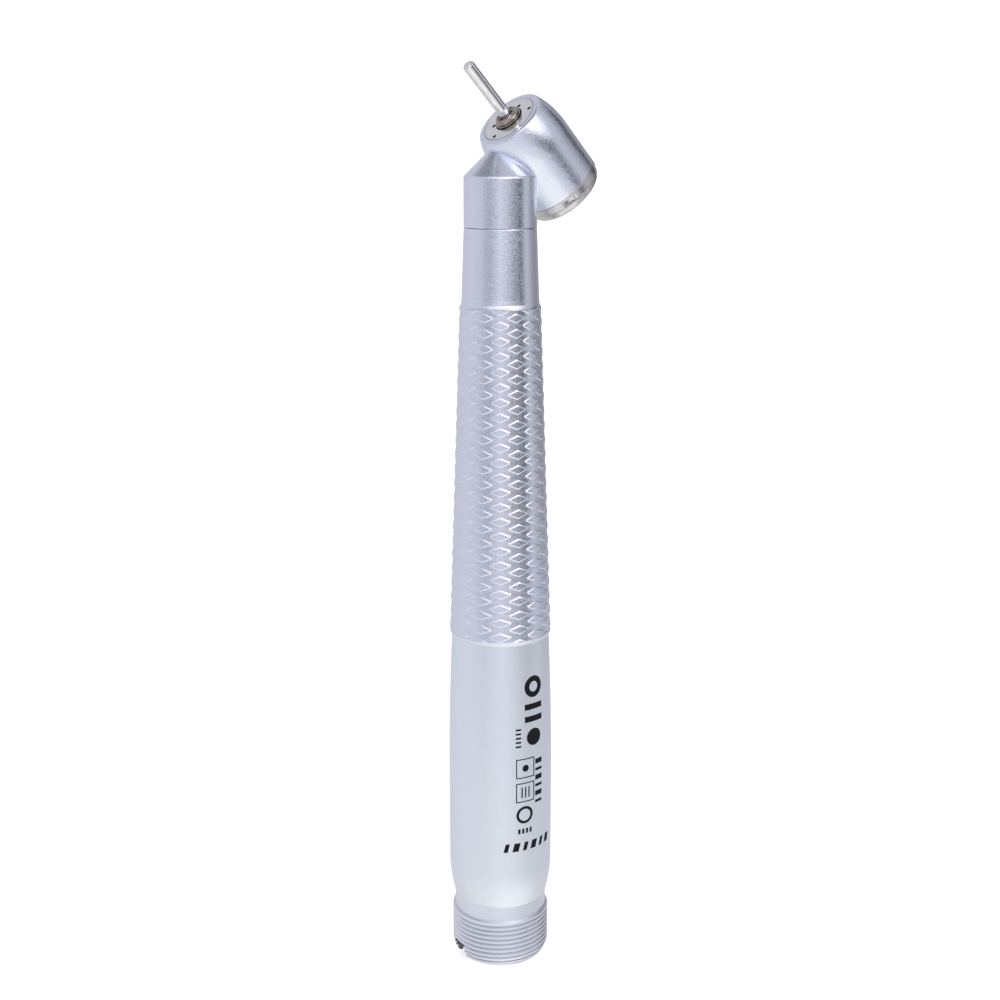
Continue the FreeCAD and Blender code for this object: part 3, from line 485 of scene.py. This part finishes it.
def neck_and_crease(columns=288, fillet=0.13, widest=0.5):
    """The collar and cone run up to the head and meet it in a small weld-like bead."""
    outline = neck_outline()
    length = np.concatenate([[0], np.cumsum(np.linalg.norm(np.diff(outline, axis=0), axis=1))])

    def on_neck(turn, run):
        turn, run = np.broadcast_arrays(turn, run)
        r, z = (np.interp(run, length, outline[:, k]) for k in (0, 1))
        return np.stack([r * np.cos(turn), r * np.sin(turn), z], -1)

    # The crease is where each line up the neck first goes into the head.
    turns = np.linspace(0, 2 * math.pi, 720, endpoint=False)
    runs = np.linspace(1.0, length[-1], 1500)
    gap = outside_head(on_neck(turns[:, None], runs[None, :]))
    hit = np.array([np.argmax(row < 0) for row in gap])
    k = np.arange(len(turns))
    share = gap[k, hit - 1] / (gap[k, hit - 1] - gap[k, hit])
    crease = on_neck(turns, runs[hit - 1] + share * (runs[hit] - runs[hit - 1]))

    # The bead's edges lie a little way down the neck and up the head, the upper one just inside the head.
    line = np.roll(crease, -1, 0) - np.roll(crease, 1, 0)
    line /= np.linalg.norm(line, axis=1)[:, None]
    head_normal, neck_normal = normals_of(outside_head, crease), normals_of(outside_neck, crease)
    down, up = across(line, neck_normal, head_normal), across(line, head_normal, neck_normal)
    half = np.arccos(np.clip((up * down).sum(1), -1, 1)) / 2
    reach = np.minimum(fillet / np.tan(half), widest)[:, None]
    low, high = crease + down * reach, crease + up * reach
    high = high - normals_of(outside_head, high) * (outside_head(high) + 0.004)[:, None]
    rise = head_normal + neck_normal
    rise /= np.linalg.norm(rise, axis=1)[:, None]

    # Read again at the columns' turns, from three rounds of the low edge so that the ends join.
    low_turn = np.unwrap(np.arctan2(low[:, 1], low[:, 0]))
    keys = np.concatenate([low_turn - 2 * math.pi, low_turn, low_turn + 2 * math.pi])
    order = np.argsort(keys)
    angle = np.linspace(0, 2 * math.pi, columns, endpoint=False)

    def at_columns(values):
        return np.interp(angle, keys[order], np.tile(values, 3)[order])

    edge = at_columns(np.interp(low[:, 2], outline[:, 1], length))
    middle, top, swell = (np.stack([at_columns(part[:, c]) for c in range(3)], -1)
                          for part in (crease, high, rise))
    rows = [on_neck(angle, np.minimum(run, edge)) for run in length]
    start = on_neck(angle, edge)
    for s in np.linspace(0, 1, 9)[1:]:
        bead = BEAD_RISE * math.sin(math.pi * s) ** 2 * swell
        rows.append((1 - s) ** 2 * start + 2 * s * (1 - s) * middle + s ** 2 * top + bead)
    return mesh_object("neck", np.concatenate(rows), grid_faces(len(rows), columns))


head = join("head_shell", head_barrel(), neck_and_crease())
finish_piece(head, silver, "handpiece", "satin_silver", "head_housing")


# ---------------------------------------------------------------- cap, button, nose, bur

def slot_turns():
    """Turns of the cap's points, close together in and beside its three wrench slots."""
    half = CAP_SLOT_HALF / CAP_SLOT_RADIUS
    beside, clear = 0.012, 0.02
    turns = set(np.linspace(0, 2 * math.pi, 180, endpoint=False))
    for middle in CAP_SLOT_MIDDLES:
        centre = math.radians(middle)
        turns = {t for t in turns if abs(t - centre) > half + clear}
        turns |= {centre + half * s for s in np.linspace(-1, 1, 17)}
        turns |= {centre + side * (half + beside) for side in (-1, 1)}
    return sorted(turns)


def slot_shape(radius, height, turn, slack=0.0005):
    """Scoops the wrench slots out of the cap's edge."""
    on_edge = CAP_SLOT_LOW < height < CAP_SLOT_HIGH and radius > CAP_SLOT_RADIUS - 0.2
    for middle in CAP_SLOT_MIDDLES:
        off = (turn - math.radians(middle)) * CAP_SLOT_RADIUS / CAP_SLOT_HALF
        if on_edge and abs(off) <= 1 + slack:
            return radius - CAP_SLOT_DEPTH * (1 - off * off) - CAP_SLOT_STEP, height
    return radius, height


def cap_ring():
    """Cap from its seat in the head over the slotted edge and the rim to the button's hole."""
    seat, groove, hole = 5.06, 5.33, 4.75
    outline = eased([
        (seat, 7.8), (seat, 11.35), (seat, 11.44, 0.02), (5.64, 11.44, 0.05),
        (5.637, 11.66), (5.636, 11.70), (5.622, 12.42), (5.62, 12.51, 0.03), (5.53, 12.6, 0.02),
        (groove, 12.61, 0.01), (groove, 12.69, 0.01), (5.42, 12.70, 0.02),
        (5.37, 13.34, 0.06), (5.2, 13.6, 0.06), (4.78, 13.6, 0.05), (hole, 13.45), (hole, 11.9),
    ])
    return lathe("cap_ring", outline, HEAD, turns=slot_turns(), shape=slot_shape, sharp=35)


def push_button_top():
    """Button with a boss over the chuck's pusher, room for its spring, a flange and a crown."""
    boss, spring_room, flange, side = 0.9, 3.7, 4.68, 4.36
    outline = eased([
        (0.0, 11.4), (boss, 11.4, 0.05), (boss, 13.2, 0.05),
        (spring_room, 13.2, 0.1), (spring_room, 12.0, 0.05),
        (flange, 12.0, 0.03), (flange, 12.25, 0.04), (side, 12.27, 0.02),
        (side, 13.7, 0.10), (3.9, 14.0, 0.14), (3.2, 14.18, 0.5), (1.6, 14.24), (0.0, 14.25),
    ])
    return lathe("push_button_top", outline, HEAD)


def chuck_nose():
    """Hollow spindle whose grooved nose stands out of the face plate."""
    bore, groove, shoulder, shaft = 1.26, 1.6, 1.86, 1.5875
    outline = eased([
        (bore, 10.5), (bore, -0.84, 0.02), (1.4, -0.84, 0.03), (1.68, -0.6, 0.06), (1.7, -0.36, 0.03),
        (groove, -0.34, 0.01), (groove, -0.28, 0.01), (shoulder, -0.24, 0.03), (shoulder, -0.13, 0.03),
        (1.82, -0.1, 0.02), (1.84, 1.75, 0.05), (shaft, 1.75), (shaft, 10.9, 0.05), (1.2, 10.9),
    ])
    return lathe("chuck_nose", outline, HEAD, steps=128)


def collet_jaws():
    """Gripping sleeve with a funnel mouth and three slits."""
    bore, outside, top = 0.84, 1.24, 7.1
    outline = eased([(bore, top), (bore, -0.55, 0.03), (1.0, -0.79, 0.03), (outside, -0.79, 0.03),
                     (outside, top)])
    sleeve = lathe("collet_jaws", outline + [(bore, top)], HEAD, steps=96)
    slits = [block((1.3, 0.2, 5.2), (0.9, 0.0, 1.7), math.radians(120 * k)) for k in range(3)]
    for slit in slits:
        slit.data.transform(HEAD)
    return carve(sleeve, *slits)


def bur_blank():
    """Plain round shank with bevelled ends."""
    outline = eased([(0.0, -BUR_HALF), (BUR_RADIUS - 0.25, -BUR_HALF, 0.05),
                     (BUR_RADIUS, -BUR_HALF + 0.25, 0.06), (BUR_RADIUS, BUR_HALF - 0.22, 0.05),
                     (BUR_RADIUS - 0.22, BUR_HALF, 0.05), (0.0, BUR_HALF)])
    return lathe("bur_blank", outline, HEAD, steps=96)


finish_piece(cap_ring(), cap_steel, "handpiece", "stainless", "head_cap")
finish_piece(push_button_top(), button_steel, "button", "stainless", "push_button")
finish_piece(chuck_nose(), nose_steel, "rotor", "spindle_steel", "rotor_spindle")
finish_piece(collet_jaws(), jaw_steel, "rotor", "spindle_steel", "collet")
finish_piece(bur_blank(), bur_steel, "bur", "chrome_steel", "bur")


# ---------------------------------------------------------------- handle

def grip_radius(height):
    """Radius over the knurl's tops."""
    share = (height - GRIP_LOW) / (GRIP_HIGH - GRIP_LOW)
    return GRIP_LOW_RADIUS + (GRIP_HIGH_RADIUS - GRIP_LOW_RADIUS) * share


def knurl():
    """Raised diamonds between crossing bands, staggered round the grip.

    A cell's own axes, a and b, slant to both sides and run from -0.5 to 0.5 across it.
    """
    half = [0, KNURL_TOP / 2, KNURL_TOP, KNURL_TOP + KNURL_WALL, 0.5]
    knots = sorted({-v for v in half} | set(half))
    sunk = {k: KNURL_LIFT * min(max((abs(k) - KNURL_TOP) / KNURL_WALL, 0), 1) for k in knots}
    verts, faces = [], []
    rows = int((GRIP_HIGH - GRIP_LOW) / KNURL_PITCH) + 4
    step = 2 * math.pi / KNURL_COLUMNS
    for column in range(KNURL_COLUMNS):
        for row in range(-2, rows):
            middle = KNURL_FIRST + KNURL_PITCH * (row + 0.5 * (column % 2))
            base = len(verts)
            for a in knots:
                for b in knots:
                    turn = KNURL_TURN + step * (column + a + b)
                    height = middle + KNURL_PITCH / 2 * (a - b)
                    r = grip_radius(min(max(height, GRIP_LOW), GRIP_HIGH)) - max(sunk[a], sunk[b])
                    verts.append((r * math.cos(turn), r * math.sin(turn), height))
            faces += grid_faces(len(knots), len(knots), around=False, offset=base)
    obj = mesh_object("knurl", verts, faces, sharp=14)
    trim = bmesh.new()
    trim.from_mesh(obj.data)
    for height, way in ((GRIP_LOW, -1), (GRIP_HIGH - 0.02, 1)):
        everything = trim.verts[:] + trim.edges[:] + trim.faces[:]
        bmesh.ops.bisect_plane(trim, geom=everything, dist=1e-8, plane_co=(0, 0, height * MM),
                               plane_no=(0, 0, way), clear_outer=True)
    trim.to_mesh(obj.data)
    trim.free()
    return obj


def neck_and_edge():
    """Smooth neck above the grip, with the bright bevels at its foot and under the joint line."""
    outline = eased([
        (GRIP_HIGH_RADIUS - 0.15, GRIP_HIGH - 0.12), (GRIP_HIGH_RADIUS - 0.035, GRIP_HIGH, 0.02),
        (5.34, GRIP_HIGH + 0.2, 0.08), (5.24, GRIP_HIGH + 0.55, 0.3), (5.19, GRIP_HIGH + 1.2, 0.5),
        (4.864, COLLAR_LOW - 0.19, 0.02), (4.81, COLLAR_LOW - 0.07, 0.02), (4.3, COLLAR_LOW - 0.03),
    ])
    return lathe("neck_part", outline)


def barrel_radius(height):
    """Radius of the smooth barrel above its rear curve."""
    rise = np.maximum(np.asarray(height, float) - BELLY_HIGH, 0)
    return BELLY_RADIUS - BELLY_ARC + np.sqrt(BELLY_ARC ** 2 - rise ** 2)


def barrel():
    """Smooth rear part of the handle, up to the grip's lower step."""
    rear = arc((BARREL_LOW_RADIUS, BARREL_LOW), (BELLY_RADIUS, BELLY_LOW), 21.0, steps=16)
    belly = arc((BELLY_RADIUS, BELLY_HIGH), (BARREL_HIGH_RADIUS, BARREL_HIGH), BELLY_ARC, steps=24)
    outline = eased([(BARREL_LOW_RADIUS - 0.4, BARREL_LOW + 0.02), (BARREL_LOW_RADIUS, BARREL_LOW, 0.05),
                     rear[2]])[:-1]
    outline += rear[2:] + belly[:-1]
    outline += eased([belly[-2], (BARREL_HIGH_RADIUS, BARREL_HIGH, 0.10),
                      (GRIP_LOW_RADIUS - 0.08, GRIP_LOW - 0.3, 0.05), (GRIP_LOW_RADIUS, GRIP_LOW, 0.05),
                      (GRIP_LOW_RADIUS - 0.1, GRIP_LOW + 0.02)])[1:]
    return lathe("barrel_shell", outline)


grip = join("grip_and_neck", knurl(), neck_and_edge())
finish_piece(grip, silver, "handpiece", "satin_silver", "handle_shell")
finish_piece(barrel(), barrel_silver, "handpiece", "satin_silver")


# ---------------------------------------------------------------- rear end

def thread_crest(height):
    """Radius over the thread, narrower along the rounded bottom chamfer."""
    return CHAMFER_RADIUS + (THREAD_RADIUS - CHAMFER_RADIUS) * np.sqrt(np.clip(height / THREAD_LOW, 0, 1))


def thread_skin(columns=THREAD_COLUMNS):
    """Outside of the rear end: a real helical thread that runs over the bottom chamfer."""
    # The thread's form over one pitch: where its rings lie and how deep each is cut.
    share = [0.0, 0.18, 0.36, 0.41, 0.52, 0.63, 0.73, 0.84, 0.95]
    cut = [0.0, 0.0, 0.0, 0.12, 0.80, 1.0, 1.0, 0.80, 0.12]
    top_land, top_fade, rear_land, rear_fade = 0.32, 0.2, 0.22, 0.3
    per_turn = len(share)
    turns = int(THREAD_HIGH / THREAD_PITCH) + 3
    angle = np.linspace(0, 2 * math.pi, columns, endpoint=False)
    verts = []
    for k in range(-per_turn, per_turn * turns):
        whole, part = divmod(k, per_turn)
        z = (whole + share[part]) * THREAD_PITCH + THREAD_PITCH * angle / (2 * math.pi) - THREAD_PITCH
        fade = np.clip((THREAD_HIGH - top_land - z) / top_fade, 0, 1)
        fade *= np.clip((z - rear_land) / rear_fade, 0, 1)
        z = np.clip(z, 0.0, THREAD_HIGH)
        r = thread_crest(z) - THREAD_DEPTH * cut[part] * fade
        verts += [(a * math.cos(t), a * math.sin(t), h) for a, t, h in zip(r, angle, z)]
    rows = len(verts) // columns
    faces = grid_faces(rows, columns, around=False)
    # A ring's last point joins the first point of the ring one pitch higher.
    for i in range(rows - 1 - per_turn):
        a, b = i * columns + columns - 1, (i + per_turn) * columns
        faces.append((a, b, b + columns, a + columns))
    return mesh_object("thread_skin", verts, faces)


def rear_inside():
    """The rear rim with its recess, and the plain band above the thread with a closed top."""
    recess = eased([(CHAMFER_RADIUS, 0.0), (RECESS_RADIUS, 0.0, 0.1), (RECESS_RADIUS, RECESS_DEPTH, 0.15),
                    (0.0, RECESS_DEPTH)])
    band = eased([(0.0, BAND_HIGH), (BAND_RADIUS, BAND_HIGH, 0.04),
                  (BAND_RADIUS, THREAD_HIGH + 0.03, 0.05), (THREAD_RADIUS, THREAD_HIGH)])
    return [lathe("band", outline, steps=THREAD_COLUMNS) for outline in (recess, band)]


def rear_end():
    """The whole rear piece, with the exhaust notches in its rim and the exhaust holes in its recess."""
    whole = join("threaded_end", thread_skin(), *rear_inside())
    weld(whole.data, 10 * WELD_REACH)
    notch_reach, notch_middle = 2.4, 6.2
    notch_size = (notch_reach, NOTCH_WIDTH, NOTCH_HEIGHT + 1)
    notches = [block(notch_size, (notch_middle, 0, (NOTCH_HEIGHT - 1) / 2), turn)
               for turn in (NOTCH_TURN, NOTCH_TURN + math.pi)]
    holes = [cylinder(EXHAUST_RADIUS, 3.0, 9.0, side * EXHAUST_SIDE) for side in (-1, 1)]
    return carve(whole, *notches, *holes, sharp=32)


def rear_look(face):
    """Which of the rear piece's looks a face has: 0 bare, 1 painted shade in the recess and notches, 2
    painted shade in the thread grooves.
    """
    x, y, z = face.center / MM
    from_axis = math.hypot(x, y)
    off_notch = abs(y * math.cos(NOTCH_TURN) - x * math.sin(NOTCH_TURN))
    outwards = face.normal.x * x + face.normal.y * y > 0.5 * from_axis
    in_recess = from_axis < RECESS_RADIUS + 0.05 and z > 0.12
    in_notch = off_notch < NOTCH_WIDTH / 2 + 0.01 and z < NOTCH_HEIGHT + 0.01 and not outwards
    if z < RECESS_DEPTH + 0.1 and (in_recess or in_notch):
        return 1
    in_groove = outwards and z < THREAD_HIGH and from_axis < thread_crest(z) - 0.10
    return 2 if in_groove else 0


threaded = finish_piece(rear_end(), thread_silver, "handpiece", "thread_steel", "rear_connector")
# The recess, the notches' inner walls and the thread grooves get darker copies of the silver: painted shade.
threaded.data.materials.append(recess_steel)
threaded.data.materials.append(groove_silver)
for face in threaded.data.polygons:
    face.material_index = rear_look(face)


# ---------------------------------------------------------------- printed marks

def mark(points_u, points_v, around):
    """A thin slab on the barrel from a grid of points: u in mm round it from the mark side, v in mm up."""
    rows, columns = points_u.shape
    under = rows * columns
    turn = MARK_TURN + points_u / MARK_RADIUS
    skins = [barrel_radius(points_v) + level for level in (MARK_STAND, -MARK_SINK)]
    verts = [(r * math.cos(t), r * math.sin(t), z) for skin in skins
             for r, t, z in zip(skin.ravel(), turn.ravel(), points_v.ravel())]
    faces = grid_faces(rows, columns, around) + grid_faces(rows, columns, around, offset=under)
    edge = [[i * columns + j for j in range(columns)] for i in (0, rows - 1)]
    if not around:
        edge += [[i * columns + j for i in range(rows)] for j in (0, columns - 1)]
    for line in edge:
        for a, b in zip(line, line[1:] + ([line[0]] if around else [])):
            faces.append((a, b, b + under, a + under))
    return mesh_object("mark", verts, faces)


def bar(u, v, width, height, lean=0.0):
    """A straight stroke centred at u, v, with a column of points every 0.1 mm to follow the barrel."""
    columns = max(2, int(width / 0.1) + 1)
    s, t = np.meshgrid(np.linspace(-0.5, 0.5, columns), np.linspace(-0.5, 0.5, 2))
    return mark(u + s * width + t * height * lean, v + t * height, False)


def ring(u, v, outer, inner=0.02):
    """A round line, or a dot if its inner radius is almost nothing."""
    angle = np.linspace(0, 2 * math.pi, 40, endpoint=False)
    rows = max(2, int((outer - inner) / 0.2) + 1)
    size = np.linspace(outer, inner, rows)[:, None]
    return mark(u + size * np.cos(angle), v + size * np.sin(angle), True)


def frame_of(u, v, side, line):
    """A square outline."""
    reach = (side - line) / 2
    return [bar(u, v + way * reach, side, line) for way in (-1, 1)] \
        + [bar(u + way * reach, v, line, side - 2 * line) for way in (-1, 1)]


def printed_marks():
    """Plain strokes, dots and frames in place of print; they spell nothing."""
    strokes = [ring(5.1, 42.55, 1.55, 0.75), bar(5.1, 39.7, 3.1, 0.85)]
    strokes += [bar(5.1, 37.9, 3.1, 0.85), ring(5.1, 35.2, 1.25)]
    strokes += [bar(2.55, 36.6 - 0.62 * k, 0.8, 0.26) for k in range(5)]
    strokes += frame_of(3.65, 30.8, 2.9, 0.15) + frame_of(3.65, 27.2, 2.9, 0.15)
    strokes += [ring(3.65, 30.8, 0.5)] + [bar(3.1 + 0.55 * k, 27.2, 0.2, 1.6) for k in range(3)]
    strokes += [bar(5.95, 31.4 - 1.2 * k, 1.3, 0.4 if k % 2 else 0.72) for k in range(6)]
    strokes += [ring(3.55, 23.8, 1.3, 0.9)]
    strokes += [bar(2.7 + 0.6 * k, 21.35, 0.34, 0.75) for k in range(4)]
    strokes += [bar(0.9 + 1.4 * k, 19.0, 0.9 if k % 2 else 0.6, 1.25, 0.25) for k in range(6)]
    return join("printed_marks", *strokes)


finish_piece(printed_marks(), ink, "handpiece", None)

# CAD nodes that no piece replaces keep their shape and get the look of their slot.
for node in frame["nodes"].values():
    if node.hide_render:
        continue
    slot_name = next((s.material.name.split(".")[0] for s in node.material_slots if s.material), "")
    look = next((made for name, made in SLOT_LOOKS.items() if slot_name.startswith(name)), cap_steel)
    for material_slot in node.material_slots:
        material_slot.material = look


# ---------------------------------------------------------------- floor, light, camera

CAMERA_TURN = math.radians(37.87)
CAMERA_AWAY = 201.14 * MM
CAMERA_HEIGHT = 116.04 * MM
CAMERA_TILT = math.radians(13.5)
CAMERA_LENS = 54.0
CAMERA_SENSOR = 36.0
CAMERA_SHIFT = -0.0003
CAMERA_SIDE = math.atan2(-math.cos(CAMERA_TURN), -math.sin(CAMERA_TURN))
FLOOR_REACH = 2400.0
FLOOR_GAP = 0.2

# Brightness of the surroundings as stops of degrees and level. Turns go round the handle from the
# camera's side, with the right as the camera sees it positive. Heights go up from the horizon.
SIDES = (
    (-180, 0.62), (-150, 0.66), (-95, 0.72), (-62, 0.68), (-42, 0.50), (-30, 0.44), (-16, 0.60), (0, 0.76),
    (14, 0.62), (24, 0.56), (34, 0.40), (46, 0.28), (57, 0.22), (62, 0.11), (68, 0.11), (73, 0.34),
    (84, 0.64), (97, 0.54), (110, 0.38), (124, 0.30), (138, 0.32), (150, 0.38), (164, 0.34), (174, 0.32),
    (180, 0.60))
LOW_SIDES = (
    (-180, 0.68), (-128, 0.74), (-90, 0.80), (-50, 0.84), (0, 0.82), (35, 0.80), (62, 0.70), (88, 0.66),
    (106, 0.66), (128, 0.68), (155, 0.72), (180, 0.68))
TABLE = (
    (-180, 0.68), (-112, 0.70), (-85, 0.86), (-60, 0.84), (-25, 0.95), (10, 1.08), (75, 1.05), (100, 0.76),
    (150, 0.68), (180, 0.68))
UPPER = (
    (-180, 0.62), (-150, 0.60), (-125, 0.32), (-95, 0.30), (-50, 0.48), (0, 0.55), (60, 0.60), (107, 0.62),
    (128, 0.62), (180, 0.60))
LOW_HEIGHTS = ((-22, 1), (-17, 0.6), (-13, 0.15), (-9, 0))
TABLE_HEIGHTS = ((-46, 1), (-40, 0.9), (-31, 0))
UPPER_HEIGHTS = ((34, 0), (52, 1))
BOX_LEVEL = 1.3
BOX_TURNS = ((-60, 0), (-25, 0.7), (10, 1), (60, 1), (84, 0), (180, 0))
BOX_HEIGHTS = ((0, 0), (13, 0.8), (24, 1), (44, 1), (60, 0), (90, 0))
CARD_LEVEL = 0.08
CARD_TURNS = ((-180, 0), (116, 0), (122, 1), (134, 1), (140, 0))
CARD_HEIGHTS = ((9, 0), (16, 1), (32, 1), (42, 0))
STUDIO_TINT = (0.97, 0.977, 1.075)
TINT_HEIGHTS = ((-46, 0), (-28, 1))


def studio_floor():
    """A wide pale floor that rises softly far from the object."""
    outline = eased([(0.0, 0.0), (FLOOR_REACH, 0.0, 900.0), (FLOOR_REACH, FLOOR_REACH)])
    floor = lathe("studio_floor", outline, steps=96)
    look = Look("floor_paint", Roughness=0.9, Specular_IOR_Level=0.1, Emission_Color=rgb(1, 1, 1),
                Emission_Strength=0.6)
    grain = look.noise(30, 3)
    look.wire(Base_Color=look.blend(look.span(grain, 0, 1), rgb(0.90, 0.90, 0.90), rgb(0.92, 0.92, 0.92)))
    floor.data.materials.append(look.material)
    floor.data.transform(Matrix.Translation((0, 0, -FLOOR_GAP * MM)))
    floor.visible_glossy = False
    floor.visible_diffuse = False
    floor.visible_shadow = False


def studio_world():
    """Soft studio surroundings: sides, a white table below, a bright box in front and a dark card."""
    world = bpy.data.worlds.new("studio")
    bpy.context.scene.world = world
    world.use_nodes = True
    tree = world.node_tree
    tree.nodes.clear()

    def node(kind, *inputs, **settings):
        return add_node(tree, kind, dict(enumerate(inputs)), **settings)

    def maths(operation, *values):
        return node("ShaderNodeMath", *values, operation=operation).outputs[0]

    def ramp(value, stops):
        made = node("ShaderNodeValToRGB", value)
        made.color_ramp.interpolation = "EASE"
        elements = made.color_ramp.elements
        elements.remove(elements[-1])
        for k, (place, level) in enumerate(stops):
            stop = elements[0] if k == 0 else elements.new(place)
            stop.position, stop.color = place, rgb(level, level, level)
        return made.outputs[0]

    def mix(factor, first, second):
        return maths("ADD", first, maths("MULTIPLY", factor, maths("SUBTRACT", second, first)))

    split = node("ShaderNodeSeparateXYZ", node("ShaderNodeTexCoord").outputs["Generated"])
    turn = maths("SUBTRACT", maths("ARCTAN2", split.outputs["Y"], split.outputs["X"]), CAMERA_SIDE)
    share = maths("FRACT", maths("ADD", maths("DIVIDE", turn, 2 * math.pi), 1.5))
    tall = maths("ADD", maths("MULTIPLY", split.outputs["Z"], 0.5), 0.5)

    def by_turn(stops):
        return ramp(share, [(degrees / 360 + 0.5, level) for degrees, level in stops])

    def by_height(stops):
        return ramp(tall, [(0.5 + 0.5 * math.sin(math.radians(degrees)), level) for degrees, level in stops])

    box = maths("MULTIPLY", by_turn(BOX_TURNS), by_height(BOX_HEIGHTS))
    card = maths("MULTIPLY", by_turn(CARD_TURNS), by_height(CARD_HEIGHTS))
    level = mix(by_height(LOW_HEIGHTS), by_turn(SIDES), by_turn(LOW_SIDES))
    level = mix(by_height(TABLE_HEIGHTS), level, by_turn(TABLE))
    level = mix(by_height(UPPER_HEIGHTS), level, by_turn(UPPER))
    level = mix(box, level, BOX_LEVEL)
    level = mix(card, level, CARD_LEVEL)

    # The tint fades to neutral towards the table.
    tint = node("ShaderNodeVectorMath", by_height(TINT_HEIGHTS), [c - 1 for c in STUDIO_TINT], (1, 1, 1),
                operation="MULTIPLY_ADD")
    tinted = node("ShaderNodeVectorMath", tint.outputs[0], operation="SCALE")
    tree.links.new(level, tinted.inputs["Scale"])
    shade = node("ShaderNodeBackground", tinted.outputs[0], 1.0)
    node("ShaderNodeOutputWorld", shade.outputs[0])


def soft_box(name, turn, height, away, size, watts, aim=(0, 0, 0.07)):
    """A square area light at a turn in degrees from the camera's side; lengths are in metres."""
    light = bpy.data.lights.new(name, "AREA")
    light.shape, light.size, light.energy = "SQUARE", size, watts
    obj = bpy.data.objects.new(name, light)
    angle = CAMERA_SIDE + math.radians(turn)
    obj.location = (away * math.cos(angle), away * math.sin(angle), height)
    obj.rotation_euler = (Vector(aim) - obj.location).to_track_quat("-Z", "Y").to_euler()
    obj.visible_camera = False
    bpy.context.scene.collection.objects.link(obj)


def studio_camera():
    """The camera, on the side of the head's face and about as high as the head, tilted down."""
    data = bpy.data.cameras.new("camera")
    data.lens, data.sensor_width, data.shift_x = CAMERA_LENS, CAMERA_SENSOR, CAMERA_SHIFT
    data.clip_start, data.clip_end = 0.005, 50
    camera = bpy.data.objects.new("camera", data)
    away = CAMERA_AWAY * Vector((math.cos(CAMERA_SIDE), math.sin(CAMERA_SIDE), 0))
    camera.location = away + Vector((0, 0, CAMERA_HEIGHT))
    camera.rotation_euler = (math.pi / 2 - CAMERA_TILT, 0, -CAMERA_TURN)
    bpy.context.scene.collection.objects.link(camera)
    bpy.context.scene.camera = camera


studio_floor()
studio_world()
soft_box("front_box", turn=35, height=0.30, away=0.35, size=0.2, watts=0.12)
studio_camera()
bpy.context.scene.view_settings.view_transform = "Standard"
